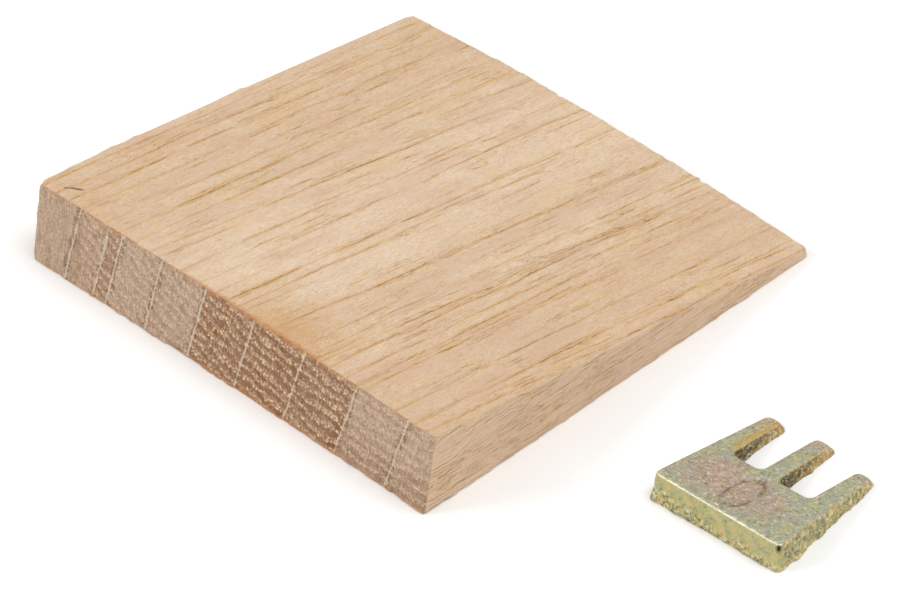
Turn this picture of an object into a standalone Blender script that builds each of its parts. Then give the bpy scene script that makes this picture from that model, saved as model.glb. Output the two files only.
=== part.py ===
"""Wedge set for fixing a tool's head to its handle, lying flat as it comes out of its packet.

It has two loose pieces: an oak wedge with square sides, and a cast steel wedge with three prongs beside it.
Both taper in height along +Y, from a thick butt that the mallet strikes to a thin edge that goes in first.
Units are metres, +Z is up, and the ground plane is z = 0. The origin is the middle of the set's footprint.
"""

from math import acos, atan2, cos, radians, sin, tan

import bmesh
import bpy
from mathutils import Vector

MM = 0.001

# Oak wedge
WOOD_WIDTH = 65.0 * MM  # along X
WOOD_LENGTH = 62.2 * MM  # along the grain, from the butt's top edge to the thin edge, at the sides
WOOD_BUTT_HEIGHT = 10.6 * MM
WOOD_EDGE_HEIGHT = 1.1 * MM  # the thin edge isn't sawn to a feather
BUTT_RAKE = 1.7 * MM  # the butt is square to the sloping face, so its foot stands forward of its top
BUTT_HOLLOW = 0.3 * MM  # how far the saw wandered: both ends bow the same way
EDGE_BOW = 0.95 * MM
END_STEPS = 9  # facets along each bowed end; odd, so that one lies across the middle
WOOD_CORNER_RADII = (0.75 * MM, 0.35 * MM, 0.6 * MM, 1.0 * MM)  # anticlockwise from the butt's left corner
WOOD_ARRIS = 0.2 * MM

# Steel wedge, in its own frame: the butt's middle is at (0, 0) and the prongs point along +Y
STEEL_BUTT_WIDTH = 18.3 * MM
STEEL_POINT_SIDES = (-8.0 * MM, 7.55 * MM)  # outer faces of the outer prongs at their points
STEEL_LENGTH = 18.0 * MM  # to the shortest prong's point, which is the right one
STEEL_BUTT_HEIGHT = 3.7 * MM
STEEL_POINT_HEIGHT = 0.85 * MM
SLOT_ROOT = 9.6 * MM  # from the butt to the bottom of the slots
SLOT_ROOTS = ((-5.95 * MM, -1.65 * MM), (0.8 * MM, 5.5 * MM))  # walls of the left and right slot at its root
SLOT_MOUTHS = ((-6.15 * MM, -1.6 * MM), (0.65 * MM, 5.55 * MM))  # and level with the points
LEFT_PRONG_EXTRA = 0.5 * MM  # the mould filled unevenly, so no two prongs are the same length
MIDDLE_PRONG_EXTRA = 1.6 * MM
DRAFT = 0.45 * MM  # the underside is this much larger all round than the top
BUTT_RADIUS = 0.5 * MM
ROOT_RADIUS = 0.95 * MM
POINT_RADIUS = 0.7 * MM
ARC_STEPS = 4
CAST_EDGE = 0.25 * MM

# Where the steel wedge lies, from the middle of the oak wedge's butt
STEEL_PLACE = (57.65 * MM, 18.85 * MM)
STEEL_TURN = radians(2.1)

BEVEL_LIMIT = radians(35)  # edges sharper than this are eased


def clear_scene():
    for obj in list(bpy.data.objects):
        bpy.data.objects.remove(obj, do_unlink=True)


def material(name, colour, roughness, metallic):
    made = bpy.data.materials.new(name)
    made.use_nodes = True
    shader = made.node_tree.nodes["Principled BSDF"]
    shader.inputs["Base Color"].default_value = (*colour, 1.0)
    shader.inputs["Roughness"].default_value = roughness
    shader.inputs["Metallic"].default_value = metallic
    return made


def fillet(before, corner, after, radius, steps):
    """Points of the arc that rounds a corner of an outline, between its neighbours before and after."""
    into = (before - corner).normalized()
    out = (after - corner).normalized()
    half_angle = acos(max(-1.0, min(1.0, into.dot(out)))) / 2
    run = radius / tan(half_angle)
    start = corner + into * run
    end = corner + out * run
    centre = corner + (into + out).normalized() * (radius / sin(half_angle))
    first = atan2(start.y - centre.y, start.x - centre.x)
    sweep = atan2(end.y - centre.y, end.x - centre.x) - first
    full_turn = radians(360)
    sweep = (sweep + full_turn / 2) % full_turn - full_turn / 2
    angles = (first + sweep * step / steps for step in range(steps + 1))
    return [centre + Vector((cos(angle), sin(angle))) * radius for angle in angles]


def rounded(corners, radii, steps):
    """An outline with its corners rounded. A radius of 0 leaves a corner as a single point."""
    outline = []
    for index, (corner, radius) in enumerate(zip(corners, radii)):
        if radius == 0:
            outline.append(corner)
            continue
        before = corners[index - 1]
        after = corners[(index + 1) % len(corners)]
        outline += fillet(before, corner, after, radius, steps)
    return outline


def grown(corners, distance):
    """The same outline, run anticlockwise, with each side moved outwards by distance."""
    moved = []
    for index, corner in enumerate(corners):
        along_in = (corner - corners[index - 1]).normalized()
        along_out = (corners[(index + 1) % len(corners)] - corner).normalized()
        outward_in = Vector((along_in.y, -along_in.x))
        outward_out = Vector((along_out.y, -along_out.x))
        middle = (outward_in + outward_out).normalized()
        moved.append(corner + middle * (distance / middle.dot(outward_in)))
    return moved


def tapered_block(name, foot, head, top_height, finish):
    """A solid between a foot outline on the ground and a head outline, on a slope, of as many points."""
    solid = bmesh.new()
    low = [solid.verts.new((p.x, p.y, 0.0)) for p in foot]
    high = [solid.verts.new((p.x, p.y, top_height(p.y))) for p in head]
    solid.faces.new(reversed(low))
    solid.faces.new(high)
    count = len(low)
    for index in range(count):
        following = (index + 1) % count
        solid.faces.new((low[index], low[following], high[following], high[index]))
    mesh = bpy.data.meshes.new(name)
    solid.to_mesh(mesh)
    solid.free()
    mesh.materials.append(finish)
    obj = bpy.data.objects.new(name, mesh)
    bpy.context.scene.collection.objects.link(obj)
    return obj


def ease_edges(obj, width, segments):
    bevel = obj.modifiers.new("eased_edges", "BEVEL")
    bevel.width = width
    bevel.segments = segments
    bevel.limit_method = "ANGLE"
    bevel.angle_limit = BEVEL_LIMIT
    obj.data.shade_smooth()
    obj.data.set_sharp_from_angle(angle=BEVEL_LIMIT)


def bowed_end(y_at_sides, bow, inset_left, inset_right):
    """Points along an end that bows towards +Y, from left to right, leaving out its two corners."""
    left = -WOOD_WIDTH / 2 + inset_left
    right = WOOD_WIDTH / 2 - inset_right
    points = []
    for step in range(END_STEPS + 1):
        x = left + (right - left) * step / END_STEPS
        share = 2 * x / WOOD_WIDTH
        points.append(Vector((x, y_at_sides + bow * (1 - share * share))))
    return points


def wood_outline():
    """The sloping face's outline seen from above, anticlockwise from the butt's left corner."""
    butt_left, butt_right, edge_right, edge_left = WOOD_CORNER_RADII
    inset = 1.5  # the bowed part stops this many radii short of each corner
    butt = bowed_end(0.0, BUTT_HOLLOW, inset * butt_left, inset * butt_right)
    edge = bowed_end(WOOD_LENGTH, EDGE_BOW, inset * edge_left, inset * edge_right)
    half = WOOD_WIDTH / 2
    corners = [
        Vector((-half, 0.0)),
        *butt,
        Vector((half, 0.0)),
        Vector((half, WOOD_LENGTH)),
        *reversed(edge),
        Vector((-half, WOOD_LENGTH)),
    ]
    straight = [0.0] * len(butt)
    radii = [butt_left, *straight, butt_right, edge_right, *straight, edge_left]
    return rounded(corners, radii, ARC_STEPS)


def wooden_wedge(finish):
    head = wood_outline()
    foot = [Vector((p.x, p.y - BUTT_RAKE * (1 - p.y / WOOD_LENGTH))) for p in head]
    fall = (WOOD_BUTT_HEIGHT - WOOD_EDGE_HEIGHT) / WOOD_LENGTH
    obj = tapered_block("wooden_wedge", foot, head, lambda y: WOOD_BUTT_HEIGHT - fall * y, finish)
    ease_edges(obj, WOOD_ARRIS, 1)
    return obj


def steel_corners():
    """Corners and radii of the comb's top outline, anticlockwise from the butt's left corner."""
    half_butt = STEEL_BUTT_WIDTH / 2
    left_side, right_side = STEEL_POINT_SIDES
    left_end = STEEL_LENGTH + LEFT_PRONG_EXTRA
    middle_end = STEEL_LENGTH + MIDDLE_PRONG_EXTRA
    (left_root, left_mouth), (right_root, right_mouth) = zip(SLOT_ROOTS, SLOT_MOUTHS)
    points = [
        (-half_butt, 0.0, BUTT_RADIUS),
        (half_butt, 0.0, BUTT_RADIUS),
        (right_side, STEEL_LENGTH, POINT_RADIUS),
        (right_mouth[1], STEEL_LENGTH, POINT_RADIUS),
        (right_root[1], SLOT_ROOT, ROOT_RADIUS),
        (right_root[0], SLOT_ROOT, ROOT_RADIUS),
        (right_mouth[0], middle_end, POINT_RADIUS),
        (left_mouth[1], middle_end, POINT_RADIUS),
        (left_root[1], SLOT_ROOT, ROOT_RADIUS),
        (left_root[0], SLOT_ROOT, ROOT_RADIUS),
        (left_mouth[0], left_end, POINT_RADIUS),
        (left_side, left_end, POINT_RADIUS),
    ]
    return [Vector((x, y)) for x, y, _ in points], [radius for _, _, radius in points]


def steel_wedge(finish):
    corners, radii = steel_corners()
    head = rounded(corners, radii, ARC_STEPS)
    foot = rounded(grown(corners, DRAFT), radii, ARC_STEPS)
    fall = (STEEL_BUTT_HEIGHT - STEEL_POINT_HEIGHT) / STEEL_LENGTH
    obj = tapered_block("steel_wedge", foot, head, lambda y: STEEL_BUTT_HEIGHT - fall * y, finish)
    ease_edges(obj, CAST_EDGE, 2)
    obj.location = (*STEEL_PLACE, 0.0)
    obj.rotation_euler.z = STEEL_TURN
    return obj


def footprint_middle(objects):
    """Middle of the box around the finished objects, on the ground."""
    bpy.context.view_layer.update()
    graph = bpy.context.evaluated_depsgraph_get()
    points = []
    for obj in objects:
        evaluated = obj.evaluated_get(graph)
        mesh = evaluated.to_mesh()
        points += [evaluated.matrix_world @ vertex.co for vertex in mesh.vertices]
        evaluated.to_mesh_clear()
    low, high = ([pick(p[axis] for p in points) for axis in (0, 1)] for pick in (min, max))
    return [(a + b) / 2 for a, b in zip(low, high)]


def main():
    clear_scene()
    oak = material("oak", (0.68, 0.47, 0.29), 0.75, 0.0)
    passivated_steel = material("passivated_steel", (0.47, 0.43, 0.28), 0.45, 1.0)
    pieces = [wooden_wedge(oak), steel_wedge(passivated_steel)]
    x, y = footprint_middle(pieces)
    layout = bpy.data.objects.new("layout", None)
    bpy.context.scene.collection.objects.link(layout)
    layout.location = (-x, -y, 0.0)
    for piece in pieces:
        piece.parent = layout


main()
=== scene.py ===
"""Looks of a wedge set for a tool handle: an oak wedge, and a cast metal wedge with three prongs beside it.

Both pieces are fine meshes that stand for the CAD solids. Each mesh carries a few fields as attributes, such
as how far a point is from the nearest torn line or ray in the wood. Its material draws its colours from them
and from noise. Shapes are worked out in millimetres, and MM turns them into the frame's metres.
"""

from itertools import product
from math import cos, radians, sin, tan

import bpy
import numpy as np
from mathutils import Matrix, Vector


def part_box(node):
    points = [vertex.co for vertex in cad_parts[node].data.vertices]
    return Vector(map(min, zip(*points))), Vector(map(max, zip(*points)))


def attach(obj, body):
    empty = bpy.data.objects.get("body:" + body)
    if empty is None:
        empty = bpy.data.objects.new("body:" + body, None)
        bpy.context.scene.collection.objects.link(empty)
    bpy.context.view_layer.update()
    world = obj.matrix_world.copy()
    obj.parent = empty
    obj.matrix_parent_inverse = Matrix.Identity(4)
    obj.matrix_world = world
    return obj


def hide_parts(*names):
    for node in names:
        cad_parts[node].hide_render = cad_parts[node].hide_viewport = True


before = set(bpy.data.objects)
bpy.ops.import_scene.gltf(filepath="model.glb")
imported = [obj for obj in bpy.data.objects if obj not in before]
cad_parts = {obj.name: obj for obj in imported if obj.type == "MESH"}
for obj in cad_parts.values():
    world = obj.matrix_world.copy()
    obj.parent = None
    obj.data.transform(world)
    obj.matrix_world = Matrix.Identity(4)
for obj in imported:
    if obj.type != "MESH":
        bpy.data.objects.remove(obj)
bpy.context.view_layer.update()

MM = 0.001

# Camera
CAMERA_AZIMUTH = radians(44.46)
CAMERA_ELEVATION = radians(39.84)
CAMERA_DISTANCE = 758 * MM
CAMERA_LENS = 265.4
CAMERA_SENSOR = 36
CAMERA_AIM = Vector((-3.62, -9.27, 6.82)) * MM

# Studio. Each softbox has a name, azimuth and elevation in degrees, distance, size and power.
FLOOR_SIZE = 6.0
WORLD_STRENGTH = 0.62
SOFTBOXES = (
    ("key_light", 120, 66, 1.4, (0.9, 0.9), 9),
    ("front_light", -41, 32, 1.2, (0.5, 0.4), 5),
)

# Oak wedge, in mm from the middle of the top edge of its butt
WOOD_RAKE = 1.7  # the butt's foot stands this far forward of its top
WOOD_BUTT_HOLLOW = 0.3
WOOD_EDGE_BOW = 0.95
WOOD_EDGE_HEIGHT = 1.1
WOOD_CORNER_RADII = ((1.3, 0.5), (1.0, 0.8))  # butt left and right, thin edge left and right
WOOD_ARRIS = 0.25
WOOD_LENGTH = 62  # about, for turning the upper face's rows over onto the lower one
WOOD_CELLS = (396, 72, 34)  # across, along and up
WOOD_EDGE_STEP = 0.1  # size of the two cells nearest to each edge
WOOD_SAWN_ALLOWANCE = 0.03  # the roughness is cut into a block this much thicker
GOLD_PATCH = (7.5, 1.5)  # x and y of the middle of a warm patch at the butt's top edge
EDGE_NICKS = ((15, 0.3, 0.5), (-8.5, 0.25, 0.4))  # in the thin edge: x, depth and width
GOUGE_MIDDLE = (-28.5, 2.3)  # a short slanting cut near the butt's left corner
GOUGE_DIRECTION = (0.754, 0.657)
RING_WIDTH = 1.42  # of a year's growth, measured up the butt
TABLE_SIZE = 4096  # random values behind each noise field
PRIMES = (73856093, 19349663, 83492791)

# Wide rays seen on the butt: where each meets the top edge, in mm from the middle
RAYS = (-24.9, -20.2, -18.0, -11.4, -4.25, 3.56, 11.7, 20.1, 28.25)
RAY_LEAN = (0.19, 0.0014)  # lean at the middle, and how much it grows for each mm to the right
FINE_RAYS = (-29.5, -22.8, -14.6, -8.1, 0.3, 7.9, 15.6, 24.6, 30.6)
# How brown the wood is between one ray and the next, from the left side to the right
RAY_SECTORS = (0.05, 0.3, 0.6, 0.18, 0.22, 0.95, 1.0, 0.9, 0.15, 0.12)

# Rows of open pores along the sloping face: x at the butt, drift to the right for each mm along, and the
# parts where the row has torn, each with its start, end and depth from 0 to 1
GRAIN_ROWS = (
    (-31.2, 0.01, (8, 30, 0.35)),
    (-29.1, 0.006, (16, 24, 0.35), (24, 35, 0.5), (33, 58, 0.3)),
    (-27.0, 0.002, (1, 16, 0.8), (16, 26, 0.5), (30, 46, 0.6)),
    (-24.8, 0.006, (10, 24, 0.3), (26, 44, 0.35)),
    (-21.0, 0.008, (13, 28, 0.65), (48, 61, 0.3)),
    (-18.7, 0.012, (10, 17, 0.85), (20, 28, 0.6)),
    (-16.2, 0.01, (17, 32, 0.75), (31, 60, 0.5)),
    (-13.5, 0.052, (17, 30, 0.6), (31, 43, 0.7)),
    (-8.8, 0.027, (12, 26, 0.5), (26, 38, 0.3), (38, 46, 0.6)),
    (-5.5, 0.012, (15, 31, 0.6), (33, 44, 0.35), (56, 61, 0.6)),
    (-1.2, 0.03, (1, 12, 1.0), (17, 25, 0.8), (28, 37, 0.85)),
    (0.6, 0.02, (16, 30, 0.45), (38, 48, 0.35)),
    (6.3, 0.045, (1, 6, 0.6), (7, 25, 0.9), (24, 38, 0.65), (41, 52, 0.5)),
    (12.6, 0.01, (1, 12, 0.4)),
    (14.3, 0.02, (13, 22, 0.7), (57, 62, 0.7)),
    (13.2, 0.06, (38, 47, 0.95)),
    (15.4, 0.025, (10, 24, 0.6), (28, 38, 0.7), (45, 54, 0.7)),
    (18.0, 0.01, (1, 16, 0.6), (18, 27, 0.4)),
    (19.6, 0.012, (4, 14, 0.5), (18, 28, 0.55)),
    (20.9, 0.02, (1, 9, 0.8), (9, 21, 0.7)),
    (25.9, 0.012, (15, 25, 0.6), (43, 54, 0.5)),
    (29.0, 0.014, (2, 12, 0.4), (14, 31, 1.0), (37, 56, 0.75)),
    (31.1, 0.016, (2, 12, 0.6), (20, 28, 0.4), (28, 41, 0.75)),
)
FINE_STREAKS = 520
SIDE_STREAKS = 300
# How dark the sloping face is from left to right: x and darkness
TONE_BANDS = (
    (-32, 0.5),
    (-26, 1.0),
    (-19, 0.65),
    (-10, 0.2),
    (3, 0.05),
    (8, 0.55),
    (10, 0.5),
    (12, 0.1),
    (15, 0.2),
    (18, 0.5),
    (24, 0.85),
    (29, 0.8),
    (32, 1.0),
)

# Metal wedge, in mm in its own frame: its origin is the middle of the butt's top edge, and the prongs point
# along +Y
METAL_PLACE = (57.65, 18.85)  # from the middle of the top edge of the oak wedge's butt
METAL_TURN = radians(2.1)
METAL_BUTT_HEIGHT = 3.72
METAL_POINT_HEIGHT = 0.85
METAL_LENGTH = 18.0
METAL_VOXEL = 0.105
METAL_SOFTENING = 16  # rounds of smoothing that turn the blank's sharp edges into cast ones
DIMPLE = (-0.15, 4.7, 1.5, 2.9)  # x, y and half its width and length
CHIP = (9.0, 0.1, 3.1)  # x, y and z of the damage at the butt's upper right corner
FLASH = (-9.4, -0.3)  # x and y of the metal squeezed out at the butt's lower left corner


# ---------------------------------------------------------------- noise and shape helpers


def noise(seed, *coordinates):
    """Smooth random values from -1 to 1 at the given points, with a new value at each whole coordinate."""
    table = np.random.default_rng(seed).uniform(-1, 1, TABLE_SIZE)
    whole = [np.floor(c).astype(np.int64) for c in coordinates]
    part = [c - w for c, w in zip(coordinates, whole)]
    part = [p * p * (3 - 2 * p) for p in part]
    total = 0.0
    for corner in product((0, 1), repeat=len(coordinates)):
        weight = 1.0
        index = 0
        for step, w, p, prime in zip(corner, whole, part, PRIMES):
            weight = weight * (p if step else 1 - p)
            index = index ^ ((w + step) * prime)
        total = total + weight * table[index % TABLE_SIZE]
    return total


def layered(seed, octaves, *coordinates):
    """Noise with finer and weaker noise on top of it."""
    total = 0.0
    for octave in range(octaves):
        scaled = (c * 2**octave + 17.3 * octave for c in coordinates)
        total = total + noise(seed + octave, *scaled) / 2**octave
    return total


def ease(low, high, value):
    """0 below low, 1 above high, and smooth between them."""
    share = np.clip((value - low) / (high - low), 0, 1)
    return share * share * (3 - 2 * share)


def block_surface(cells):
    """Lattice points on the surface of a block of cells, and the quads that join them, facing out."""
    index = np.full([count + 1 for count in cells], -1)
    surface = np.zeros(index.shape, bool)
    for axis in range(3):
        sheets = np.moveaxis(surface, axis, 0)
        sheets[0] = True
        sheets[-1] = True
    index[surface] = np.arange(surface.sum())
    quads = []
    for axis in range(3):
        for end in (0, -1):
            sheet = np.moveaxis(index, axis, 0)[end]
            corners = [sheet[:-1, :-1], sheet[1:, :-1], sheet[1:, 1:], sheet[:-1, 1:]]
            # The two other axes, in order, point out of the block for X and Z, and into it for Y.
            if (end == 0) != (axis == 1):
                corners.reverse()
            quads.append(np.stack([c.ravel() for c in corners], 1))
    return np.argwhere(surface), np.concatenate(quads)


def vertex_normals(points, quads):
    """Unit normals of a closed mesh of quads."""
    across = points[quads[:, 2]] - points[quads[:, 0]]
    along = points[quads[:, 3]] - points[quads[:, 1]]
    face = np.cross(across, along)
    total = np.zeros_like(points)
    for corner in range(4):
        np.add.at(total, quads[:, corner], face)
    return total / np.linalg.norm(total, axis=1)[:, None]


def make_object(name, points, quads):
    mesh = bpy.data.meshes.new(name)
    mesh.from_pydata(points.tolist(), [], quads.tolist())
    mesh.validate()
    obj = bpy.data.objects.new(name, mesh)
    bpy.context.scene.collection.objects.link(obj)
    return obj


def set_field(obj, name, values):
    """Stores a value for each vertex, for the material to read."""
    field = obj.data.attributes.new(name, "FLOAT", "POINT")
    field.data.foreach_set("value", np.asarray(values, np.float32))


# ---------------------------------------------------------------- oak wedge's mesh


def spread(count, length, fine):
    """count + 1 places from 0 to length, evenly spaced but for two short steps of size fine at each end."""
    inner = np.linspace(2 * fine, length - 2 * fine, count - 3)
    return np.concatenate([[0, fine], inner, [length - fine, length]])


def round_corner(first, second, radius):
    """Distances inside two faces that meet in an edge, after rounding that edge off."""
    a = (radius - first) / radius
    b = (radius - second) / radius
    near = (a > 0) & (b > 0)
    pull = np.ones_like(a)
    pull[near] = np.maximum(a, b)[near] / np.hypot(a, b)[near]
    return np.where(near, radius * (1 - a * pull), first), np.where(near, radius * (1 - b * pull), second)


def rounded_block(x, y, z, half, length, height):
    """Rounds all edges of the wedge. The ones around the butt's left end are worn more."""
    for side in (-1, 1):
        wear_and_highlight = 0.9 * (side < 0) * np.exp(-y / 6)
        inset, gap = round_corner(half - side * x, height - z, WOOD_ARRIS + wear_and_highlight)
        x, z = side * (half - inset), height - gap
        wear_and_highlight = (1.8 if side < 0 else 0.45) * np.exp(-y / 9)
        inset, z = round_corner(half - side * x, z, WOOD_ARRIS + wear_and_highlight)
        x = side * (half - inset)
    for end in (0, 1):
        wear_and_highlight = 0.0 if end else 0.7 * np.exp(-(x + half) / 2.5)
        inset, gap = round_corner(length - y if end else y, height - z, (WOOD_ARRIS + wear_and_highlight) * np.ones_like(y))
        inset, z = round_corner(inset, height - gap, WOOD_ARRIS * np.ones_like(y))
        y = length - inset if end else inset
        for side, radius in zip((-1, 1), WOOD_CORNER_RADII[end]):
            inset, aside = round_corner(length - y if end else y, half - side * x, radius * np.ones_like(y))
            y = length - inset if end else inset
            x = side * (half - aside)
    return x, y, z


def leaning(starts):
    """How far each ray moves to the left for each mm down from the sloping face."""
    return RAY_LEAN[0] + RAY_LEAN[1] * starts


def ray_distance(x, depth, rays, seed):
    """Distance across the wood to the nearest of some rays, at a depth below the butt's top edge."""
    starts = np.array(rays)[:, None]
    wobble = 0.1 * noise(seed, x * 0.5, depth * 0.6)
    return np.abs(x[None] + wobble[None] - (starts - leaning(starts) * depth[None])).min(0)


def sector_tone(x, depth):
    """How brown the end grain is: it changes at some wide rays, and is browner low down on the right."""
    starts = np.array(RAYS)[:, None]
    sector = (x[None] > starts - leaning(starts) * depth[None]).sum(0)
    low_right = ease(3, 9, depth) * ease(17, 20, x + 0.2 * depth)
    return np.array(RAY_SECTORS)[sector] + 0.35 * low_right


def tear(y, start, end, seed):
    """Strength from 0 to 1 of a torn line along the grain, pointed at both ends and broken here and there."""
    share = np.clip((y - start) / (end - start), 0, 1)
    return np.sqrt(np.sin(np.pi * share)) * (0.35 + 0.65 * ease(-0.7, 0.2, noise(seed, y / 2.3)))


def nearest_line(lines, x, y):
    """Signed distance across the grain to the line that shows most at each point, and its strength there.

    Each line is a path and a strength, given as functions of y, and the span of x that it can reach.
    """
    offset = np.full_like(x, 5.0)
    strength = np.zeros_like(x)
    weight = np.zeros_like(x)
    for path, force, low, high in lines:
        near = (x > low) & (x < high)
        away = x[near] - path(y[near])
        seen = force(y[near]) * ease(0.9, 0.5, np.abs(away))
        rank = seen * np.exp(-((away / 0.5) ** 2)) + 1e-6
        best = rank > weight[near]
        index = np.flatnonzero(near)[best]
        offset[index] = away[best]
        strength[index] = seen[best]
        weight[index] = rank[best]
    return offset, strength


def grain_rows():
    """The rows of open pores, which run the whole length and are torn in places."""
    for number, (start_x, drift, *tears) in enumerate(GRAIN_ROWS):

        def path(y, number=number, start_x=start_x, drift=drift):
            slow = start_x + drift * y + 0.2 * noise(200 + number, y / 7)
            return slow + 0.06 * noise(230 + number, y / 1.7)

        def force(y, number=number, tears=tears):
            total = 0.22 + 0.16 * noise(260 + number, y / 9)
            for start, end, strength in tears:
                total = np.maximum(total, tear(y, start - 1, end + 1, 320 + number) * strength)
            return total

        yield path, force, start_x - 2, start_x + 6


def fine_streaks(seed):
    """Shorter and fainter lines, most of them beside the rows."""
    draw = np.random.default_rng(seed)
    for number in range(FINE_STREAKS):
        row_x, drift, *_ = GRAIN_ROWS[draw.integers(len(GRAIN_ROWS))]
        start_x = row_x + draw.normal(0, 0.9) if draw.random() < 0.6 else draw.uniform(-33, 32)
        start, length, strength = draw.uniform(-3, 60), draw.uniform(2, 13), draw.uniform(0.15, 0.75)

        def path(y, number=number, start_x=start_x, drift=drift):
            return start_x + drift * y + 0.1 * noise(600 + number, y / 2.5)

        def force(y, number=number, start=start, length=length, strength=strength):
            return tear(y, start, start + length, 1100 + number) * strength

        yield path, force, start_x - 1, start_x + 4


def side_streaks(seed):
    """Lines along the grain on the narrow sides, which are given by their height instead of by x."""
    draw = np.random.default_rng(seed)
    for number in range(SIDE_STREAKS):
        level, start = draw.uniform(-0.5, 11), draw.uniform(-4, 58)
        length, strength, drift = draw.uniform(2, 14), draw.uniform(0.4, 1.25), draw.uniform(-0.04, 0.0)

        def path(y, number=number, level=level, drift=drift):
            return level + drift * y + 0.1 * noise(1700 + number, y / 3)

        def force(y, number=number, start=start, length=length, strength=strength):
            return tear(y, start, start + length, 1900 + number) * strength

        yield path, force, level - 3, level + 1


def wood_points():
    """The oak wedge's smooth shape: points, quads, and the height of the sloping face over each point."""
    low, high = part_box("wooden_wedge")
    half = (high.x - low.x) / 2 / MM
    length = (high.y - low.y) / MM - WOOD_RAKE - WOOD_EDGE_BOW
    butt_height = high.z / MM + WOOD_SAWN_ALLOWANCE
    lattice, quads = block_surface(WOOD_CELLS)
    x = (spread(WOOD_CELLS[0], 2 * half, WOOD_EDGE_STEP) - half)[lattice[:, 0]]
    y = spread(WOOD_CELLS[1], length, WOOD_EDGE_STEP)[lattice[:, 1]]
    share_up = spread(WOOD_CELLS[2], butt_height, WOOD_EDGE_STEP)[lattice[:, 2]] / butt_height
    height = butt_height - (butt_height - WOOD_EDGE_HEIGHT) * y / length
    x, y, z = rounded_block(x, y, share_up * height, half, length, height)
    across = 1 - (x / half) ** 2
    y_share = y / length
    bow = WOOD_BUTT_HOLLOW * (1 - y_share) + WOOD_EDGE_BOW * y_share
    y = y + bow * across - WOOD_RAKE * (1 - y_share) * (1 - z / height)
    return np.stack([x, y, z], 1), quads, height, butt_height


def wooden_wedge():
    points, quads, height, butt_height = wood_points()
    normals = vertex_normals(points, quads)
    x, y, z = points.T
    top = ease(0.6, 0.95, normals[:, 2])
    under = ease(0.6, 0.95, -normals[:, 2])
    end = ease(0.5, 0.9, np.abs(normals[:, 1]))
    side = ease(0.5, 0.9, np.abs(normals[:, 0]))

    # The lower face has the same rows as the upper one, turned over
    face_x = np.where(normals[:, 2] < -0.3, -x, x)
    face_y = np.where(normals[:, 2] < -0.3, WOOD_LENGTH - y, y)
    row_offset, row_strength = nearest_line(grain_rows(), face_x, face_y)
    fine_offset, fine_strength = nearest_line(fine_streaks(29), face_x, face_y)
    side_offset, side_strength = nearest_line(side_streaks(33), z, y)
    on_side = side > 0.5
    row_strength = row_strength * (top + under)
    fine_offset = np.where(on_side, side_offset, fine_offset)
    fine_strength = np.where(on_side, side_strength, fine_strength * (top + under))

    # Relief in mm: torn grooves and soft ridges on the faces, saw marks on the ends and sides, ragged edges
    grooves = row_strength * np.exp(-((row_offset / 0.14) ** 2))
    grooves = np.maximum(grooves, 0.7 * fine_strength * np.exp(-((fine_offset / 0.13) ** 2)))
    ridges = 0.03 * noise(11, x / 0.45, y / 11) + 0.05 * noise(12, x / 1.7, y / 19)
    ridges = ridges + 0.05 * noise(13, x / 6, y / 23)
    rough_end = 0.05 * layered(14, 3, x / 0.7, y, z / 0.7) + 0.07 * noise(15, x / 3, z / 3)
    rough_side = 0.04 * noise(16, y / 7, z / 0.35) + 0.05 * noise(17, y / 4, z / 2)
    wander = (0.2 * noise(18, y / 6.5) + 0.09 * noise(31, y / 2.1)) * (x < 0) + 0.05 * noise(19, y / 5)
    wander = wander + 0.13 * noise(28, z / 1.5) * ease(2.5, 0, y) * (x < 0)
    low_edge = ease(0.9, 0.1, z) * (0.14 * layered(20, 3, x / 1.1, y / 1.1))
    high_edge = ease(0.7, 0.1, height - z) * (0.09 * layered(24, 3, x / 0.9, y / 0.9) - 0.05)
    push = (top + under) * (ridges - 0.05 - 0.16 * grooves) + end * (rough_end + low_edge + high_edge - 0.03)
    left_edge = ease(1.2, 0.1, height - z) * (x < 0) * (0.16 * layered(34, 2, y / 1.5) - 0.08)
    push += side * (rough_side + wander + low_edge + left_edge - 0.04)
    points = points + normals * push[:, None]

    # The thin edge was cut a little short on its left, and it has small nicks
    far = ease(45, WOOD_LENGTH, y)
    nicks = sum(depth * np.exp(-(((x - place) / width) ** 2)) for place, depth, width in EDGE_NICKS)
    points[:, 1] -= far * (0.35 * ease(-14, -30, x) + nicks + 0.08 * noise(21, x / 1.3))

    low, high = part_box("wooden_wedge")
    origin = np.array([(low.x + high.x) / 2, low.y + WOOD_RAKE * MM, 0.0])
    points[:, 2] = np.maximum(points[:, 2], 0.0)
    obj = make_object("oak_wedge", points * MM + origin, quads)
    obj.data.shade_smooth()
    depth = butt_height - z
    drifted = x - 0.018 * y + 0.5 * noise(22, x / 3, y / 14)
    gold_x, gold_y = GOLD_PATCH
    gold = np.exp(-(((x - gold_x) / 6) ** 2) - ((y - gold_y) / 4.5) ** 2) * top
    shade = np.interp(drifted, *zip(*TONE_BANDS)) + 0.25 * layered(23, 2, x / 5, y / 17) + 0.9 * gold
    set_field(obj, "shade", shade + 0.3 * ease(7, 0, y) * top)
    set_field(obj, "gold", gold)
    set_field(obj, "row_offset", row_offset)
    set_field(obj, "row_strength", row_strength)
    set_field(obj, "fine_offset", fine_offset)
    set_field(obj, "fine_strength", fine_strength)
    set_field(obj, "end_grain", end)
    set_field(obj, "side_grain", side)
    set_field(obj, "ray", ray_distance(x, depth, RAYS, 61))
    set_field(obj, "fine_ray", ray_distance(x, depth, FINE_RAYS, 62))
    set_field(obj, "brown", sector_tone(x, depth))
    set_field(obj, "across", x)
    set_field(obj, "along", y)
    set_field(obj, "rise", z)
    set_field(obj, "below_slope", height - z)
    return obj


# ---------------------------------------------------------------- metal wedge's mesh


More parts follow.
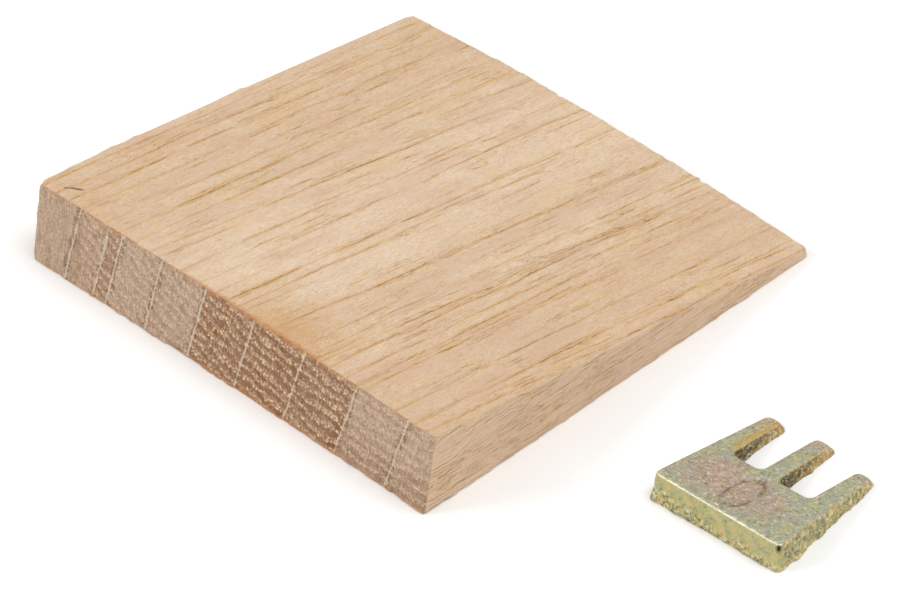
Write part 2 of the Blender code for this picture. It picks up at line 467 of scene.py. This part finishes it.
def arc(before, corner, after, radius, steps):
    """Points of the arc that rounds a corner of an outline, between its neighbours before and after."""
    into = (before - corner).normalized()
    out = (after - corner).normalized()
    half_angle = into.angle(out) / 2
    centre = corner + (into + out).normalized() * (radius / sin(half_angle))
    start = corner + into * (radius / tan(half_angle)) - centre
    turn = radians(180) - 2 * half_angle
    if into.cross(out) > 0:
        turn = -turn
    return [centre + Matrix.Rotation(turn * step / steps, 2) @ start for step in range(steps + 1)]


def rounded_outline(corners, steps=6):
    """An outline with its corners rounded. Each corner is x, y and radius."""
    points = [Vector(corner[:2]) for corner in corners]
    outline = []
    for index, corner in enumerate(corners):
        following = points[(index + 1) % len(points)]
        outline += arc(points[index - 1], points[index], following, corner[2], steps)
    return outline


# Upper and lower outlines of the casting, in mm, anticlockwise from the butt's left corner: x, y and radius.
# The lower one is larger, because the sides have draft.
METAL_UPPER = (
    (-9.25, 0.05, 0.6),
    (9.15, 0.0, 0.6),
    (7.55, 18.0, 0.75),
    (5.6, 18.0, 0.75),
    (5.5, 9.55, 0.9),
    (0.8, 9.45, 0.75),
    (0.4, 19.45, 0.75),
    (-1.6, 19.45, 0.75),
    (-1.65, 9.6, 0.9),
    (-5.95, 9.6, 0.75),
    (-6.15, 18.7, 0.75),
    (-8.15, 18.7, 0.8),
)
METAL_LOWER = (
    (-9.75, -0.5, 1.3),
    (9.6, -0.5, 0.8),
    (7.95, 18.4, 0.8),
    (5.15, 18.4, 0.8),
    (5.0, 9.95, 0.9),
    (1.2, 9.85, 0.75),
    (1.25, 19.8, 0.8),
    (-2.05, 19.8, 0.8),
    (-2.1, 10.0, 0.9),
    (-5.7, 10.0, 0.75),
    (-5.4, 19.0, 0.8),
    (-8.5, 19.0, 0.8),
)


def metal_blank():
    """The casting as a plain solid, in mm."""
    upper = rounded_outline(METAL_UPPER)
    lower = rounded_outline(METAL_LOWER)
    fall = (METAL_BUTT_HEIGHT - METAL_POINT_HEIGHT) / METAL_LENGTH
    count = len(upper)
    points = [(p.x, p.y, 0.0) for p in lower]
    points += [(p.x, p.y, METAL_BUTT_HEIGHT - fall * p.y) for p in upper]
    faces = [list(reversed(range(count))), list(range(count, 2 * count))]
    for index in range(count):
        following = (index + 1) % count
        faces.append([index, following, count + following, count + index])
    mesh = bpy.data.meshes.new("metal_wedge")
    mesh.from_pydata(points, [], faces)
    obj = bpy.data.objects.new("metal_wedge", mesh)
    bpy.context.scene.collection.objects.link(obj)
    return obj


def evaluated_mesh(obj):
    """Applies an object's modifiers and returns its points and normals."""
    graph = bpy.context.evaluated_depsgraph_get()
    mesh = bpy.data.meshes.new_from_object(obj.evaluated_get(graph))
    obj.modifiers.clear()
    obj.data = mesh
    count = len(mesh.vertices)
    points = np.empty(count * 3, np.float32)
    normals = np.empty(count * 3, np.float32)
    mesh.vertices.foreach_get("co", points)
    mesh.vertex_normals.foreach_get("vector", normals)
    return points.reshape(-1, 3).astype(float), normals.reshape(-1, 3).astype(float)


def metal_wedge():
    obj = metal_blank()
    remesh = obj.modifiers.new("even_faces", "REMESH")
    remesh.mode = "VOXEL"
    remesh.voxel_size = METAL_VOXEL
    soften = obj.modifiers.new("soft_edges", "SMOOTH")
    soften.factor = 0.5
    soften.iterations = METAL_SOFTENING
    points, normals = evaluated_mesh(obj)
    x, y, z = points.T

    up = ease(0.7, 0.93, normals[:, 2])
    wall = ease(0.4, 0.1, np.abs(normals[:, 2]))
    foot = ease(1.3, 0.2, z)
    butt = ease(0.5, 0.9, -normals[:, 1])

    # Relief in mm: a rippled upper face with a dimple, gritty walls, lumps at the foot, flash, and a chip
    cast = 0.03 * layered(41, 3, x / 0.55, y / 0.55, z / 0.55) + 0.05 * noise(44, x / 2.6, y / 2.6, z / 2.6)
    grit = 0.045 * layered(45, 3, x / 0.42, y / 0.42, z / 0.42) + 0.05 * noise(48, x / 1.3, y / 1.3, z / 1.3)
    grit = grit * (1 - 0.6 * butt * ease(0.3, 1.1, z))
    lumps = foot * wall * np.maximum(noise(49, x / 1.5, y / 1.5) + 0.15, 0) * 0.32
    flash_x, flash_y = FLASH
    corner = np.exp(-(((x - flash_x) / 1.5) ** 2 + ((y - flash_y) / 1.3) ** 2)) * ease(1.9, 0.3, z)
    flash = 0.28 * corner * (0.7 + 0.5 * noise(50, x / 0.7, y / 0.7, z / 0.7)) * (1 - up)
    dimple_x, dimple_y, half_width, half_length = DIMPLE
    reach = (np.abs((x - dimple_x) / half_width) ** 2.5 + np.abs((y - dimple_y) / half_length) ** 2.5) ** 0.4
    rim = np.exp(-(((reach - 1.05) / 0.14) ** 2))
    pan = ease(1.0, 0.75, reach)
    chip_x, chip_y, chip_z = CHIP
    chip = np.exp(-(((x - chip_x) / 0.4) ** 2 + ((y - chip_y) / 0.35) ** 2 + ((z - chip_z) / 0.45) ** 2))
    push = up * (cast - 0.05 * rim - 0.04 * pan) + (1 - up) * (grit * wall + 0.3 * cast)
    push = push + lumps + flash - 0.3 * chip
    points = points + normals * push[:, None]
    points[:, 2] = np.maximum(points[:, 2], 0.0)
    x, y, z = points.T

    # From its own frame in mm to its place beside the oak wedge
    low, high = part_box("wooden_wedge")
    middle = Vector(((low.x + high.x) / 2, low.y + WOOD_RAKE * MM, 0.0))
    place = middle + Vector((*METAL_PLACE, 0.0)) * MM
    turn = np.array([[cos(METAL_TURN), -sin(METAL_TURN)], [sin(METAL_TURN), cos(METAL_TURN)]])
    flat = points[:, :2] @ turn.T
    moved = np.column_stack([flat * MM + np.array(place[:2]), points[:, 2] * MM])
    obj.data.vertices.foreach_set("co", moved.astype(np.float32).ravel())
    obj.data.update()
    obj.data.shade_smooth()
    set_field(obj, "upper", up)
    set_field(obj, "metal_x", x)
    set_field(obj, "metal_y", y)
    set_field(obj, "metal_z", z)
    set_field(obj, "relief", push)
    set_field(obj, "dimple_rim", rim * up)
    set_field(obj, "chip", chip)
    # Pale along the rounded top edges, most of all at the butt's top edge, with pale flecks beside it: partly
    # worn plating, partly a painted highlight where the front light reflects
    edge = ease(0.3, 0.5, normals[:, 2]) * ease(0.99, 0.93, normals[:, 2])
    beside_edge = 0.75 * up * ease(0.55, 0.15, y) * ease(-0.4, 0.5, noise(51, x / 0.35, y / 0.35))
    set_field(obj, "wear_and_highlight", np.maximum(edge * ease(0.9, 0.3, y), beside_edge))
    set_field(obj, "edge_tint", edge * ease(1, 3, y))
    # Painted shade on the walls inside the slots between the prongs, deepest towards their roots
    slot = (x > -6.5) * (x < 5.3) * ease(9.5, 10.2, y) * ease(0.97, 0.8, normals[:, 2])
    set_field(obj, "slot_shade", slot * (0.45 + 0.55 * ease(17, 11, y)))
    return obj


# ---------------------------------------------------------------- material helpers


class Shading:
    """A material's nodes, added one at a time. Colours and numbers can be given in place of links."""

    def __init__(self, name):
        self.material = bpy.data.materials.new(name)
        self.material.use_nodes = True
        self.tree = self.material.node_tree
        self.shader = self.tree.nodes["Principled BSDF"]

    def connect(self, socket, value):
        if isinstance(value, bpy.types.NodeSocket):
            self.tree.links.new(value, socket)
        elif isinstance(value, tuple) and len(value) == 3 and socket.type == "RGBA":
            socket.default_value = (*value, 1.0)
        else:
            socket.default_value = value

    def node(self, kind, inputs=(), **settings):
        made = self.tree.nodes.new(kind)
        for name, value in settings.items():
            setattr(made, name, value)
        for key, value in dict(inputs).items():
            self.connect(made.inputs[key], value)
        return made

    def field(self, name):
        return self.node("ShaderNodeAttribute", attribute_name=name).outputs["Fac"]

    def math(self, operation, *values):
        return self.node("ShaderNodeMath", enumerate(values), operation=operation).outputs[0]

    def total(self, *terms, start=0.0):
        """The sum of some values, each times its own share."""
        for value, share in terms:
            start = self.math("MULTIPLY_ADD", value, share, start)
        return start

    def vector(self, x, y, z):
        return self.node("ShaderNodeCombineXYZ", {"X": x, "Y": y, "Z": z}).outputs[0]

    def stretch(self, vector, scale):
        made = self.node("ShaderNodeVectorMath", {0: vector, 1: scale}, operation="MULTIPLY")
        return made.outputs[0]

    def noise(self, vector, scale=1.0, detail=2.0, roughness=0.5, w=0.0):
        inputs = {"Vector": vector, "W": w, "Scale": scale, "Detail": detail, "Roughness": roughness}
        return self.node("ShaderNodeTexNoise", inputs, noise_dimensions="4D").outputs["Fac"]

    def cells(self, vector, scale, randomness=1.0):
        inputs = {"Vector": vector, "Scale": scale, "Randomness": randomness}
        return self.node("ShaderNodeTexVoronoi", inputs, voronoi_dimensions="2D")

    def range(self, value, low, high, to_low=0.0, to_high=1.0):
        """Takes value from low..high to to_low..to_high, smoothly, and no further."""
        inputs = {0: value, 1: low, 2: high, 3: to_low, 4: to_high}
        return self.node("ShaderNodeMapRange", inputs, interpolation_type="SMOOTHSTEP").outputs[0]

    def mix(self, share, first, second):
        made = self.node("ShaderNodeMix", data_type="RGBA")
        self.connect(made.inputs[0], share)
        self.connect(made.inputs[6], first)
        self.connect(made.inputs[7], second)
        return made.outputs[2]

    def ramp(self, value, *stops):
        """A colour that goes through the stops, each of which is a place and a colour, as value grows."""
        made = self.node("ShaderNodeValToRGB", {"Fac": value})
        elements = made.color_ramp.elements
        while len(elements) < len(stops):
            elements.new(0.5)
        for element, (place, colour) in zip(elements, stops):
            element.position = place
            element.color = (*colour, 1.0)
        return made.outputs["Color"]

    def bump(self, height, distance, strength=1.0, normal=None):
        made = self.node("ShaderNodeBump", {"Strength": strength, "Distance": distance, "Height": height})
        if normal is not None:
            self.connect(made.inputs["Normal"], normal)
        return made.outputs["Normal"]

    def finish(self, colour, roughness, normal):
        self.connect(self.shader.inputs["Base Color"], colour)
        self.connect(self.shader.inputs["Roughness"], roughness)
        self.connect(self.shader.inputs["Normal"], normal)
        return self.material


def tone(red, green, blue):
    """A colour given as it looks on a screen, from 0 to 255, as the linear values that a shader takes."""
    shares = (value / 255 for value in (red, green, blue))
    return tuple(s / 12.92 if s <= 0.04045 else ((s + 0.055) / 1.055) ** 2.4 for s in shares)


# ---------------------------------------------------------------- oak


def torn_lines(s, place, kind, half_width, seed):
    """Thin jagged lines from a pair of fields: a signed distance across the grain and a strength."""
    wobble = s.math("SUBTRACT", s.noise(s.stretch(place, (1.0, 1.6, 1.0)), detail=3.0, w=seed), 0.5)
    away = s.math("ABSOLUTE", s.math("MULTIPLY_ADD", wobble, 0.4, s.field(kind + "_offset")))
    strength = s.field(kind + "_strength")
    beads = s.noise(s.stretch(place, (1.5, 0.8, 1.5)), detail=3.0, roughness=0.65, w=seed + 1)
    beaded = s.range(beads, 0.36, 0.58, 0.2, 1.0)
    core = s.math("MULTIPLY", s.range(away, half_width, half_width * 0.3), beaded)
    halo = s.range(away, 0.55, 0.0)
    return s.math("MULTIPLY", core, strength), s.math("MULTIPLY", halo, strength)


def gouge(s, across, along):
    """How deep the short slanting cut near the butt's left corner is, from 0 to 1."""
    x = s.math("SUBTRACT", across, GOUGE_MIDDLE[0])
    y = s.math("SUBTRACT", along, GOUGE_MIDDLE[1])
    direction_x, direction_y = GOUGE_DIRECTION
    lengthwise = s.math("ABSOLUTE", s.total((x, direction_x), (y, direction_y)))
    sideways = s.math("ABSOLUTE", s.total((x, direction_y), (y, -direction_x)))
    return s.math("MULTIPLY", s.range(lengthwise, 1.25, 0.8), s.range(sideways, 0.2, 0.06))


def long_grain_colour(s, place, cut, stain):
    """The broad faces and the sides: mottled oak with fine lines along the grain."""
    speckle = s.noise(s.stretch(place, (6.5, 3.2, 6.5)), detail=2.0, roughness=0.7)
    mottle = s.noise(s.stretch(place, (3.0, 0.8, 3.0)), detail=3.0, roughness=0.7, w=1.0)
    fibre = s.noise(s.stretch(place, (6.0, 0.2, 6.0)), detail=2.0, roughness=0.6, w=2.0)
    band = s.noise(s.stretch(place, (1.1, 0.02, 1.1)), detail=2.0, w=3.0)
    dashes = s.range(s.noise(s.stretch(place, (4.5, 0.9, 4.5)), detail=2.0, w=4.0), 0.56, 0.72)
    hue = s.noise(s.stretch(place, (2.6, 0.5, 2.6)), detail=3.0, roughness=0.7, w=6.0)
    patches = s.noise(s.stretch(place, (0.28, 0.07, 0.3)), detail=3.0, w=5.0)
    darkness = s.total(
        (speckle, 0.5),
        (mottle, 0.28),
        (fibre, 0.34),
        (band, 0.21),
        (dashes, 0.18),
        (s.field("shade"), 0.13),
        (stain, 0.17),
        (cut, 0.7),
        start=-0.37,
    )
    colour = s.ramp(
        darkness,
        (0.0, tone(248, 233, 210)),
        (0.2, tone(233, 211, 185)),
        (0.4, tone(216, 187, 157)),
        (0.6, tone(201, 162, 119)),
        (0.8, tone(176, 129, 78)),
        (1.0, tone(112, 72, 36)),
    )
    colour = s.mix(s.range(hue, 0.5, 0.66, 0.0, 0.5), colour, tone(224, 180, 124))
    colour = s.mix(s.range(hue, 0.46, 0.32, 0.0, 0.35), colour, tone(204, 184, 166))
    colour = s.mix(s.math("MULTIPLY", stain, 0.5), colour, tone(224, 178, 116))
    flecked = s.math("ADD", hue, s.math("MULTIPLY", speckle, 0.6))
    gilded = s.math("MULTIPLY", s.field("gold"), s.range(flecked, 0.65, 0.95, 0.1, 0.8))
    colour = s.mix(gilded, colour, tone(210, 160, 102))
    colour = s.mix(s.range(patches, 0.48, 0.64, 0.0, 0.35), colour, tone(210, 174, 148))
    colour = s.mix(s.range(patches, 0.44, 0.34, 0.0, 0.3), colour, tone(222, 190, 142))
    return s.mix(s.math("MULTIPLY", s.field("side_grain"), 0.31), colour, tone(230, 204, 180))


def ring_share(s, across, rise):
    """How far a point is through its growth ring, from 0 to 1, starting with the row of pores."""
    warp = s.noise(s.vector(across, rise, 0.0), scale=0.32, detail=3.0)
    slope = s.math("MULTIPLY_ADD", across, -0.005, 0.25)
    ripple = s.noise(s.vector(across, rise, 0.0), scale=0.9, detail=2.0, w=12.0)
    bend = s.total((warp, 2.6), (ripple, 0.7))
    ring = s.math("ADD", bend, s.math("MULTIPLY_ADD", across, slope, rise))
    return s.math("FRACT", s.math("DIVIDE", ring, RING_WIDTH))


def pores(s, across, rise, scale, low, high):
    """Ragged pores of many sizes, in the rows where the ring's share lies between low and high."""
    flat = s.vector(across, rise, 0.0)
    cells = s.cells(flat, scale, 0.95)
    draw = s.node("ShaderNodeSeparateColor", {0: cells.outputs["Color"]}).outputs
    middle = s.node("ShaderNodeSeparateXYZ", {0: cells.outputs["Position"]}).outputs
    share = ring_share(s, middle["X"], middle["Y"])
    inside = s.math("MULTIPLY", s.range(share, low - 0.08, low), s.range(share, high + 0.15, high))
    few = s.range(draw["Red"], 0.84, 0.86, 0.0, 0.6)
    ragged = s.math("SUBTRACT", s.noise(flat, scale=4.5, detail=3.0, roughness=0.7, w=2.0), 0.5)
    reach = s.math("MULTIPLY_ADD", ragged, 0.7, cells.outputs["Distance"])
    reach = s.math("DIVIDE", reach, s.math("MULTIPLY_ADD", draw["Green"], 0.8, 0.65))
    seen = s.math("MULTIPLY", s.math("MAXIMUM", inside, few), s.range(draw["Blue"], 0.0, 1.0, 0.5, 1.0))
    return s.math("MULTIPLY", s.range(reach, 0.48, 0.16), seen)


def end_grain_colour(s, across, rise):
    """The butt and the thin edge: growth rings with rows of pale pores, crossed by pale rays."""
    flat = s.vector(across, rise, 0.0)
    share = ring_share(s, across, rise)
    early = s.math("MULTIPLY", s.range(share, 0.0, 0.12), s.range(share, 0.75, 0.45))
    fleck = s.noise(flat, scale=3.0, detail=4.0, roughness=0.75)
    leaning_flat = s.vector(s.math("MULTIPLY_ADD", rise, 0.25, across), rise, 0.0)
    streak = s.noise(s.stretch(leaning_flat, (4.5, 0.8, 1.0)))
    cloud = s.noise(flat, scale=0.45, detail=3.0)
    stray = s.noise(s.stretch(flat, (1.0, 0.45, 1.0)), detail=4.0, roughness=0.6, w=4.0)
    brown = s.math("MULTIPLY", s.field("brown"), s.range(cloud, 0.3, 0.6, 1.0, 0.8))
    from_left = s.range(across, -26.0, -23.0)

    texture = s.total((fleck, 0.7), (streak, 0.3))
    grey = s.ramp(
        texture,
        (0.34, tone(152, 124, 102)),
        (0.5, tone(192, 163, 137)),
        (0.66, tone(224, 198, 170)),
    )
    dark = s.ramp(
        texture,
        (0.34, tone(88, 52, 30)),
        (0.5, tone(138, 93, 64)),
        (0.66, tone(182, 137, 102)),
    )
    colour = s.mix(s.range(stray, 0.46, 0.68, 0.0, 0.6), grey, tone(148, 119, 102))
    from_ray = s.math("MULTIPLY_ADD", stray, -3.0, s.math("ADD", s.field("ray"), 1.4))
    beside_ray = s.range(from_ray, 0.7, 0.0)
    pitted = s.math("MULTIPLY", beside_ray, s.range(fleck, 0.57, 0.45, 0.1, 0.85))
    colour = s.mix(pitted, colour, tone(112, 84, 64))
    colour = s.mix(brown, colour, dark)
    pale = s.mix(brown, tone(220, 197, 171), tone(240, 208, 166))
    haze = s.math("MULTIPLY", early, s.range(fleck, 0.4, 0.62, 0.03, 0.34))
    colour = s.mix(s.math("MULTIPLY", haze, from_left), colour, pale)
    clearer = s.math("MULTIPLY_ADD", brown, 0.35, 0.65)
    shown = s.math("MULTIPLY", clearer, s.range(from_left, 0.0, 1.0, 0.1, 1.0))
    open_pores = pores(s, across, rise, 2.4, 0.04, 0.36)
    colour = s.mix(s.math("MULTIPLY", open_pores, shown), colour, pale)

    ragged = s.math("SUBTRACT", s.noise(flat, scale=3.4, detail=4.0, roughness=0.7), 0.5)
    swell = s.math("SUBTRACT", s.noise(flat, scale=0.7, detail=2.0, w=9.0), 0.5)
    drift = s.total((ragged, 0.6), (swell, 0.35))
    wide = s.range(s.math("ADD", s.field("ray"), drift), 0.2, 0.06, 0.0, 0.75)
    fine = s.range(s.math("ADD", s.field("fine_ray"), drift), 0.1, -0.02, 0.0, 0.5)
    colour = s.mix(s.math("MAXIMUM", wide, fine), colour, tone(222, 202, 178))
    fuzz = s.noise(flat, scale=1.4, detail=4.0, w=7.0)
    fuzz = s.math("MULTIPLY", s.math("SUBTRACT", fuzz, 0.45), 1.8)
    edge = s.math("ADD", s.math("MINIMUM", s.field("below_slope"), rise), fuzz)
    burnt = s.range(edge, 0.75, 0.3, 0.0, 0.7)
    burnt = s.math("MULTIPLY", burnt, s.range(brown, 0.0, 0.8, 0.3, 1.0))
    return s.mix(burnt, colour, tone(204, 144, 96))


def oak():
    s = Shading("oak")
    across, along, rise = s.field("across"), s.field("along"), s.field("rise")
    place = s.vector(across, along, rise)
    end = s.field("end_grain")

    row_cut, row_stain = torn_lines(s, place, "row", 0.1, 31.0)
    fine_cut, fine_stain = torn_lines(s, place, "fine", 0.09, 34.0)
    cut = s.total((row_cut, 1.0), (fine_cut, 0.7), (gouge(s, across, along), 1.3))
    stain = s.total((row_stain, 1.0), (fine_stain, 0.5))
    long_grain = long_grain_colour(s, place, cut, stain)
    fibres = s.noise(s.stretch(place, (4.0, 0.4, 4.0)), detail=4.0, roughness=0.7, w=37.0)
    pits = s.noise(s.stretch(place, (4.0, 2.0, 4.0)), detail=4.0, roughness=0.75, w=41.0)
    # A scorched strip along the middle of the butt's top edge
    from_butt = s.math("MULTIPLY_ADD", pits, -2.4, s.math("ADD", along, 1.2))
    span = s.math("MULTIPLY", s.range(across, -10.0, -6.0), s.range(across, 17.0, 11.0))
    scorched = s.math("MULTIPLY", s.range(from_butt, 1.0, 0.35, 0.0, 0.75), span)
    long_grain = s.mix(scorched, long_grain, tone(194, 136, 84))
    colour = s.mix(end, long_grain, end_grain_colour(s, across, rise))

    normal = s.bump(fibres, 0.16 * MM, 1.0)
    normal = s.bump(pits, 0.12 * MM, 1.0, normal)
    normal = s.bump(cut, -0.15 * MM, 1.0, normal)
    roughness = s.range(fibres, 0.3, 0.7, 0.62, 0.82)
    s.shader.inputs["Specular IOR Level"].default_value = 0.3
    return s.finish(colour, roughness, normal)


# ---------------------------------------------------------------- passivated metal


def passivated_metal():
    s = Shading("passivated_metal")
    x, y, z = s.field("metal_x"), s.field("metal_y"), s.field("metal_z")
    place = s.vector(x, y, z)
    upper = s.field("upper")
    relief = s.field("relief")
    patches = s.noise(place, scale=0.35, detail=3.0)
    film = s.noise(place, scale=0.9, detail=4.0, roughness=0.75)
    second = s.noise(place, scale=1.6, detail=4.0, roughness=0.8, w=3.0)
    grain = s.noise(place, scale=2.0, detail=4.0, roughness=0.8, w=5.0)
    specks = s.noise(place, scale=2.9, detail=3.0, roughness=0.7, w=9.0)

    # Upper face: pink and mauve in the middle of the body, grey green towards its edges and on the prongs
    from_middle = s.math("POWER", s.math("DIVIDE", s.math("ADD", x, 2.0), 8.5), 2.0)
    from_body = s.math("POWER", s.math("DIVIDE", s.math("SUBTRACT", y, 5.0), 4.4), 2.0)
    spread_out = s.math("MULTIPLY_ADD", patches, 2.6, s.math("ADD", from_middle, from_body))
    pink = s.ramp(
        film,
        (0.32, tone(170, 176, 156)),
        (0.42, tone(194, 174, 160)),
        (0.5, tone(208, 164, 146)),
        (0.58, tone(196, 176, 150)),
        (0.68, tone(214, 206, 140)),
    )
    green = s.ramp(
        film,
        (0.32, tone(204, 160, 156)),
        (0.42, tone(182, 180, 164)),
        (0.5, tone(180, 186, 150)),
        (0.58, tone(198, 196, 146)),
        (0.68, tone(214, 186, 130)),
    )
    face = s.mix(s.range(spread_out, 1.2, 2.6), pink, green)
    face = s.mix(s.range(second, 0.52, 0.62, 0.0, 0.6), face, tone(220, 214, 198))
    face = s.mix(s.range(second, 0.46, 0.36, 0.0, 0.55), face, tone(140, 134, 112))
    on_prong = s.math("MULTIPLY", s.range(y, 9.0, 12.0), s.range(x, -7.6, -6.7))
    face = s.mix(s.math("MULTIPLY", on_prong, s.range(x, -4.0, -5.0, 0.0, 0.7)), face, tone(216, 178, 90))
    # Sides: yellow olive, with painted shade in the hollows and gold on the grains, partly the film's own
    # colour and partly painted glints
    wall = s.ramp(
        film,
        (0.32, tone(144, 142, 108)),
        (0.42, tone(170, 173, 134)),
        (0.5, tone(188, 182, 130)),
        (0.58, tone(204, 188, 130)),
        (0.68, tone(210, 176, 120)),
    )
    ragged_z = s.math("MULTIPLY_ADD", x, 0.05, z)
    ragged_z = s.math("MULTIPLY_ADD", s.math("SUBTRACT", patches, 0.5), 4.0, ragged_z)
    rough = s.math("MAXIMUM", s.range(ragged_z, 2.0, 0.6), s.range(y, 0.3, 1.0, 0.0, 0.8))
    # Painted shade where the relief sinks, then darker grains low down, then pale gold grains that are partly
    # the film's colour and partly painted glints
    wall = s.mix(s.range(relief, 0.0, -0.14, 0.0, 0.6), wall, tone(104, 84, 52))
    wall = s.mix(s.math("MULTIPLY", rough, s.range(grain, 0.5, 0.4, 0.0, 0.85)), wall, tone(86, 66, 36))
    wall = s.mix(s.math("MULTIPLY", rough, s.range(second, 0.53, 0.62, 0.0, 0.8)), wall, tone(250, 218, 152))
    # Painted shade in the slots, dark brown; the tips' tint is kept out of it
    painted_slot_shade = s.math("MULTIPLY", s.field("slot_shade"), s.range(grain, 0.62, 0.42, 0.45, 0.95))
    wall = s.mix(painted_slot_shade, wall, tone(88, 66, 30))
    colour = s.mix(upper, wall, face)
    colour = s.mix(s.math("MULTIPLY", s.field("edge_tint"), 0.4), colour, tone(216, 176, 116))
    tips = s.math("MULTIPLY", s.range(y, 14.0, 19.0), s.range(film, 0.42, 0.58, 0.0, 0.6))
    tips = s.math("MULTIPLY", tips, s.range(painted_slot_shade, 0.0, 0.4, 1.0, 0.3))
    colour = s.mix(tips, colour, tone(212, 158, 124))
    # Pale edges: partly worn plating, partly a painted highlight
    wear_and_highlight = s.math("MULTIPLY", s.field("wear_and_highlight"), s.range(grain, 0.4, 0.54, 0.35, 1.0))
    colour = s.mix(wear_and_highlight, colour, tone(255, 250, 226))
    # Painted glints: pale specks on the upper face and the rough sides
    painted_glints = s.range(grain, 0.54, 0.63, 0.0, 0.85)
    colour = s.mix(s.math("MULTIPLY", painted_glints, s.math("MAXIMUM", upper, rough)), colour, tone(240, 236, 214))
    dark = s.range(specks, 0.45, 0.35, 0.0, 0.7)
    colour = s.mix(s.math("MULTIPLY", dark, s.range(rough, 0.0, 1.0, 0.5, 1.0)), colour, tone(112, 96, 72))
    # Painted shade in the groove round the dimple, broken up
    broken = s.range(s.math("ADD", grain, patches), 1.08, 0.94, 0.15, 0.8)
    rim = s.math("MULTIPLY", s.field("dimple_rim"), broken)
    colour = s.mix(rim, colour, tone(122, 106, 74))
    # The chip's hollow is painted near black: painted shade inside the dent
    colour = s.mix(s.range(s.field("chip"), 0.4, 0.7, 0.0, 0.9), colour, tone(44, 40, 36))

    normal = s.bump(grain, 0.16 * MM, 1.0)
    normal = s.bump(specks, 0.1 * MM, 1.0, normal)
    roughness = s.range(grain, 0.3, 0.7, 0.48, 0.34)
    s.shader.inputs["Metallic"].default_value = 0.8
    return s.finish(colour, roughness, normal)


# ---------------------------------------------------------------- studio


def floor_material():
    s = Shading("studio_floor")
    mottle = s.noise(s.node("ShaderNodeTexCoord").outputs["Object"], scale=60.0, detail=3.0)
    colour = s.mix(s.range(mottle, 0.3, 0.7), (0.97, 0.97, 0.965), (0.99, 0.99, 0.985))
    s.shader.inputs["Specular IOR Level"].default_value = 0.1
    return s.finish(colour, 0.9, s.bump(mottle, 0.02 * MM, 0.3))


def floor():
    bpy.ops.mesh.primitive_grid_add(x_subdivisions=8, y_subdivisions=8, size=FLOOR_SIZE)
    obj = bpy.context.object
    obj.name = "studio_floor"
    obj.data.materials.append(floor_material())


def softbox(name, azimuth, elevation, distance, size, power):
    """An area light that looks at the origin. Azimuth 0 is in front of the butts, on the -Y side."""
    data = bpy.data.lights.new(name, "AREA")
    data.shape = "RECTANGLE"
    data.size, data.size_y = size
    data.energy = power
    obj = bpy.data.objects.new(name, data)
    bpy.context.scene.collection.objects.link(obj)
    a, e = radians(azimuth), radians(elevation)
    direction = Vector((sin(a) * cos(e), -cos(a) * cos(e), sin(e)))
    obj.location = direction * distance
    obj.rotation_euler = direction.to_track_quat("Z", "Y").to_euler()


def studio():
    floor()
    for settings in SOFTBOXES:
        softbox(*settings)
    world = bpy.data.worlds.new("studio_world")
    world.use_nodes = True
    background = world.node_tree.nodes["Background"]
    background.inputs["Color"].default_value = (1.0, 1.0, 1.0, 1.0)
    background.inputs["Strength"].default_value = WORLD_STRENGTH
    bpy.context.scene.world = world
    bpy.context.scene.view_settings.view_transform = "Standard"


def camera():
    data = bpy.data.cameras.new("camera")
    data.lens = CAMERA_LENS
    data.sensor_width = CAMERA_SENSOR
    data.clip_end = 20
    obj = bpy.data.objects.new("camera", data)
    bpy.context.scene.collection.objects.link(obj)
    a, e = CAMERA_AZIMUTH, CAMERA_ELEVATION
    direction = Vector((sin(a) * cos(e), -cos(a) * cos(e), sin(e)))
    obj.location = CAMERA_AIM + direction * CAMERA_DISTANCE
    obj.rotation_euler = (radians(90) - e, 0.0, a)
    bpy.context.scene.camera = obj


# ---------------------------------------------------------------- the scene


def main():
    camera()
    studio()
    wood = wooden_wedge()
    wood.data.materials.append(oak())
    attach(wood, "wooden_wedge")
    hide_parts("wooden_wedge")
    metal = metal_wedge()
    metal.data.materials.append(passivated_metal())
    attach(metal, "steel_wedge")
    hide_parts("steel_wedge")


main()
